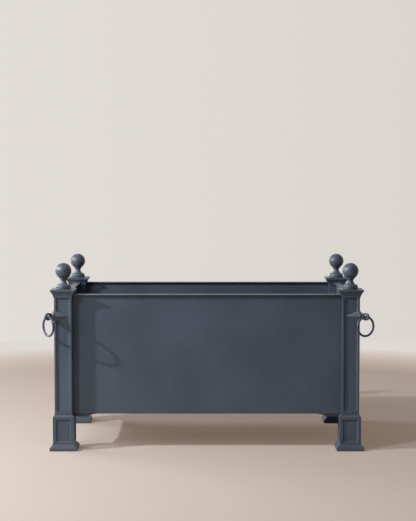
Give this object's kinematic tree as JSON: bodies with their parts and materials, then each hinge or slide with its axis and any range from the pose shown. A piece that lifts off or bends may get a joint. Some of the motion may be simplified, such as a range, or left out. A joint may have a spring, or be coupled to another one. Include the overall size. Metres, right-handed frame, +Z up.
{
  "type": "versailles planter",
  "caption": "Long garden planter box on recessed corner posts with moulded caps, ball finials, flared feet and hanging rings.",
  "frame": {"origin": "on the ground, under the middle of the planter", "axes": "+X along the planter to the right, +Y to the rear, the pictured front faces -Y, +Z up"},
  "size_m": [0.9726, 0.5588, 0.5479],
  "materials": {
    "cast_paint": "satin slate grey paint on a casting",
    "sheet_paint": "satin slate grey paint on sheet",
    "ring_paint": "satin slate grey paint on a round bar",
    "zinc_steel": "zinc plated"
  },
  "bodies": {
    "planter": {"front_left_foot": "cast_paint", "front_left_shaft": "cast_paint", "front_left_cap": "cast_paint", "front_left_finial": "cast_paint", "front_left_tie_rod": "zinc_steel", "front_left_tie_nut": "zinc_steel", "front_left_ring_boss": "cast_paint", "front_right_foot": "cast_paint", "front_right_shaft": "cast_paint", "front_right_cap": "cast_paint", "front_right_finial": "cast_paint", "front_right_tie_rod": "zinc_steel", "front_right_tie_nut": "zinc_steel", "front_right_ring_boss": "cast_paint", "rear_right_foot": "cast_paint", "rear_right_shaft": "cast_paint", "rear_right_cap": "cast_paint", "rear_right_finial": "cast_paint", "rear_right_tie_rod": "zinc_steel", "rear_right_tie_nut": "zinc_steel", "rear_right_ring_boss": "cast_paint", "rear_left_foot": "cast_paint", "rear_left_shaft": "cast_paint", "rear_left_cap": "cast_paint", "rear_left_finial": "cast_paint", "rear_left_tie_rod": "zinc_steel", "rear_left_tie_nut": "zinc_steel", "rear_left_ring_boss": "cast_paint", "front_panel": "sheet_paint", "front_top_bar": "cast_paint", "front_bottom_rail": "sheet_paint", "right_panel": "sheet_paint", "right_top_bar": "cast_paint", "right_bottom_rail": "sheet_paint", "rear_panel": "sheet_paint", "rear_top_bar": "cast_paint", "rear_bottom_rail": "sheet_paint", "left_panel": "sheet_paint", "left_top_bar": "cast_paint", "left_bottom_rail": "sheet_paint", "floor": "sheet_paint", "floor_stiffener_left": "sheet_paint", "floor_stiffener_right": "sheet_paint"},
    "front_left_ring": {"front_left_ring": "ring_paint"},
    "front_right_ring": {"front_right_ring": "ring_paint"},
    "rear_right_ring": {"rear_right_ring": "ring_paint"},
    "rear_left_ring": {"rear_left_ring": "ring_paint"}
  },
  "joints": [
    {"name": "front_left_ring_swing", "type": "hinge", "parent": "planter", "child": "front_left_ring", "pos_m": [-0.45885, -0.25435, 0.39375], "axis": [-0.6157, 0.788, 0], "range_deg": [-16, 195]},
    {"name": "front_right_ring_swing", "type": "hinge", "parent": "planter", "child": "front_right_ring", "pos_m": [0.45885, -0.25435, 0.39375], "axis": [-0.8746, -0.4848, 0], "range_deg": [-16, 195]},
    {"name": "rear_right_ring_swing", "type": "hinge", "parent": "planter", "child": "rear_right_ring", "pos_m": [0.45885, 0.25435, 0.39375], "axis": [0.6157, -0.788, 0], "range_deg": [-16, 195]},
    {"name": "rear_left_ring_swing", "type": "hinge", "parent": "planter", "child": "rear_left_ring", "pos_m": [-0.45885, 0.25435, 0.39375], "axis": [0.8746, 0.4848, 0], "range_deg": [-16, 195]}
  ]
}
